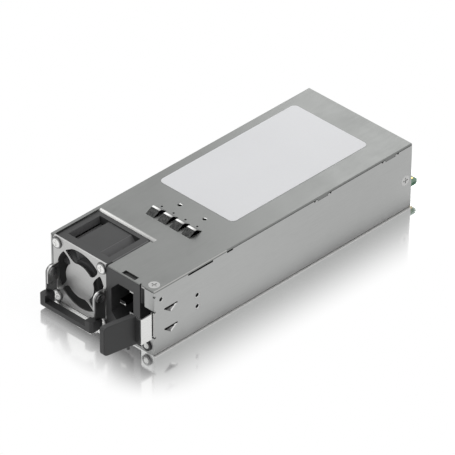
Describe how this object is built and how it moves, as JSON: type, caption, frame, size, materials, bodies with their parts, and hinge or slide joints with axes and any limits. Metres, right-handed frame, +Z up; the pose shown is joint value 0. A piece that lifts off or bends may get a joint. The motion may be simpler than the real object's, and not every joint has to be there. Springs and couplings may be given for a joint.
{
  "type": "hot swap server power supply",
  "caption": "Hot swap server power supply: long sheet steel case with fan, bail handle, mains inlet, sprung release latch and card edge.",
  "frame": {"origin": "middle of the case's underside, at the base mount", "axes": "+X to the latch side, +Y from the front with the fan and inlet to the card edge, +Z up through the cover"},
  "size_m": [0.0734, 0.2224, 0.0414],
  "materials": {
    "case_steel": "zinc plated sheet, satin",
    "cover_steel": "zinc plated sheet, satin",
    "arm_steel": "satin",
    "latch_steel": "bright rolled spring steel",
    "rivet_steel": "satin",
    "screw_steel": "zinc plated",
    "shaft_steel": "ground",
    "standoff_brass": "turned",
    "label_film": "printed film, left blank",
    "fan_plastic": "glass filled, satin",
    "magnet": "bonded ferrite",
    "motor_copper": "enamelled copper winding",
    "inlet_plastic": "moulded, satin",
    "pin_brass": "nickel plated brass",
    "grip_plastic": "moulded, satin",
    "tab_plastic": "moulded, satin",
    "bezel_plastic": "moulded",
    "lens_plastic": "clear diffusing",
    "board_green": "solder resist, satin",
    "gold": "gold plated",
    "insulator_film": "translucent film",
    "capacitor_sleeve": "shrink sleeve",
    "film_capacitor_case": "moulded box",
    "choke_ferrite": "ferrite",
    "fuse_ceramic": "ceramic",
    "heatsink_metal": "extruded",
    "bus_copper": "copper bar"
  },
  "bodies": {
    "case": {"chassis": "case_steel", "rear_panel": "case_steel", "fan_grille": "case_steel", "top_cover": "cover_steel", "latch_spring_foot": "latch_steel", "handle_rivets": "rivet_steel", "latch_rivets": "rivet_steel", "cover_screw": "screw_steel", "side_screws": "screw_steel", "fan_screws": "screw_steel", "board_screws": "screw_steel", "fan_bearings": "shaft_steel", "board_standoffs": "standoff_brass", "label": "label_film", "fan_frame": "fan_plastic", "fan_stator": "motor_copper", "transformer_windings": "motor_copper", "inlet_housing": "inlet_plastic", "line_pin": "pin_brass", "neutral_pin": "pin_brass", "earth_pin": "pin_brass", "indicator_bezel": "bezel_plastic", "light_pipe": "lens_plastic", "status_led": "lens_plastic", "main_board": "board_green", "inlet_terminal_board": "board_green", "control_board": "board_green", "card_edge_contacts": "gold", "insulation_sheet": "insulator_film", "bulk_capacitor": "capacitor_sleeve", "output_capacitors": "capacitor_sleeve", "film_capacitor": "film_capacitor_case", "pfc_choke": "choke_ferrite", "mains_filter_choke": "choke_ferrite", "transformer_core": "choke_ferrite", "mains_fuse": "fuse_ceramic", "primary_heatsink": "heatsink_metal", "output_bus_bars": "bus_copper"},
    "fan_rotor": {"fan_impeller": "fan_plastic", "fan_shaft": "shaft_steel", "rotor_magnet_ring": "magnet"},
    "handle": {"handle_arms": "arm_steel", "handle_grip": "grip_plastic"},
    "latch": {"latch_leaf": "latch_steel", "latch_tab": "tab_plastic"}
  },
  "joints": [
    {"name": "fan_spin", "type": "hinge", "parent": "case", "child": "fan_rotor", "pos_m": [-0.01625, -0.0785, 0.0191], "axis": [0, 1, 0], "continuous": true},
    {"name": "handle_swing", "type": "hinge", "parent": "case", "child": "handle", "pos_m": [-0.01555, -0.0964, 0.0199], "axis": [-1, 0, 0], "range_deg": [0, 95]},
    {"name": "latch_press", "type": "hinge", "parent": "case", "child": "latch", "pos_m": [0.0351, -0.0665, 0.0188], "axis": [0, 0, 1], "range_deg": [-5, 0], "stiffness_Nm_per_rad": 3, "springref_deg": 1.72}
  ]
}
